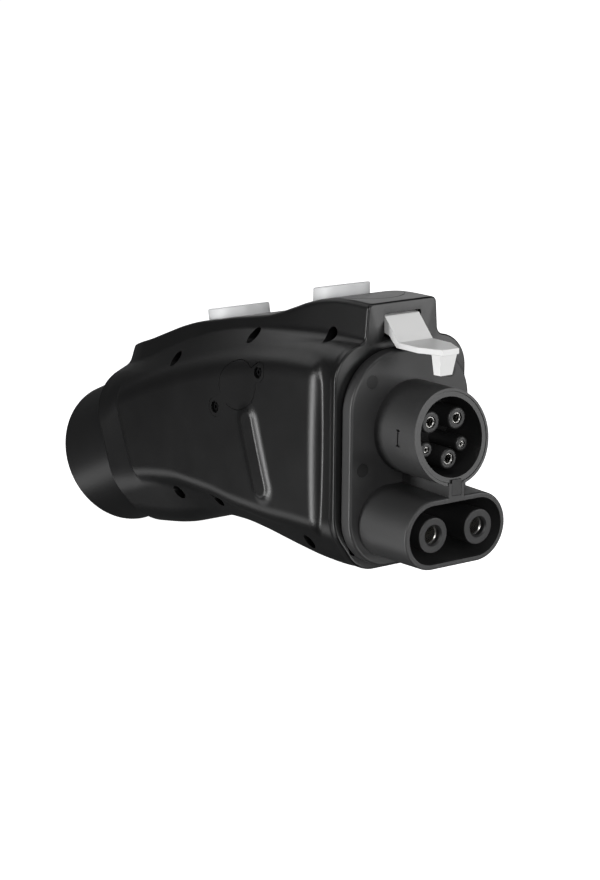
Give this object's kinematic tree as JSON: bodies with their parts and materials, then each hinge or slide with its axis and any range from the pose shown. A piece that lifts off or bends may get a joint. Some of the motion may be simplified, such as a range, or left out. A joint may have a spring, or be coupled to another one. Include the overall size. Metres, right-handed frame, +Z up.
{
  "type": "electric vehicle charging adapter",
  "caption": "Handheld vehicle charging adapter with a combined plug, sprung latch, push buttons and a round angled inlet behind.",
  "frame": {"origin": "centre of the bounding box in plan, at its lowest point, which is the bottom of the rear barrel's rim", "axes": "X across, Y from the plug back to the inlet along the plug axis, Z up; the plug faces -Y"},
  "size_m": [0.084, 0.2872, 0.1517],
  "materials": {
    "housing_black": "fine spark-eroded texture",
    "shroud_black": "fine satin",
    "barrel_black": "satin",
    "insert_black": "satin",
    "plug_grey": "satin",
    "seal_rubber": "matte",
    "latch_white": "satin",
    "button_grey": "frosted",
    "steel": "bright zinc",
    "silver_contact": "silver plated",
    "copper": "tinned edge",
    "board_green": "solder mask",
    "chip_black": "moulded",
    "tray_plastic": "satin",
    "cell_wrap": "shrink film"
  },
  "bodies": {
    "housing": {"backup_cell": "cell_wrap", "board_chips": "chip_black", "board_screws": "steel", "busbar_left": "copper", "busbar_right": "copper", "cell_tray": "tray_plastic", "contact_insert": "insert_black", "control_board": "board_green", "dc_contact_carrier": "insert_black", "dc_contact_left": "silver_contact", "dc_contact_right": "silver_contact", "earth_contact": "silver_contact", "flange_gasket": "seal_rubber", "flange_plugs": "plug_grey", "flange_screws": "steel", "hatch_screws": "steel", "housing_left": "housing_black", "housing_right": "housing_black", "housing_screws": "steel", "inlet_barrel": "barrel_black", "inlet_contact_block": "insert_black", "inlet_dc_pin_left": "silver_contact", "inlet_dc_pin_right": "silver_contact", "inlet_dc_sleeve_left": "insert_black", "inlet_dc_sleeve_right": "insert_black", "inlet_seal": "seal_rubber", "inlet_signal_pins": "silver_contact", "inlet_signal_sleeve_lower": "insert_black", "inlet_signal_sleeve_upper": "insert_black", "latch_pin": "steel", "latch_spring": "steel", "line_contact_left": "silver_contact", "line_contact_right": "silver_contact", "pilot_contact": "silver_contact", "plug_shroud": "shroud_black", "proximity_contact": "silver_contact", "service_hatch": "housing_black", "service_socket": "steel", "start_spring": "steel", "start_switch": "chip_black", "switch_board": "board_green", "terminal_bolts": "steel", "terminal_nuts": "steel"},
    "latch": {"latch_lever": "latch_white"},
    "release_button": {"release_button": "button_grey"},
    "start_button": {"start_button": "button_grey"}
  },
  "joints": [
    {"name": "latch_hinge", "type": "hinge", "parent": "housing", "child": "latch", "pos_m": [0, -0.09352, 0.1413], "axis": [-1, 0, 0], "range_deg": [0, 6], "stiffness_Nm_per_rad": 1.6, "springref_deg": -4.3, "deforming": ["latch_spring"]},
    {"name": "release_slide", "type": "slide", "parent": "housing", "child": "release_button", "axis": [0, 0, -1], "range_m": [0, 0.0039]},
    {"name": "start_slide", "type": "slide", "parent": "housing", "child": "start_button", "axis": [0, -0.2164, -0.9763], "range_m": [0, 0.0013], "stiffness_N_per_m": 600, "springref_m": -0.004, "deforming": ["start_spring"]}
  ],
  "couplings": [
    {"joint": "release_slide", "follows": "latch_hinge", "m_per_rad": 0.03629}
  ]
}
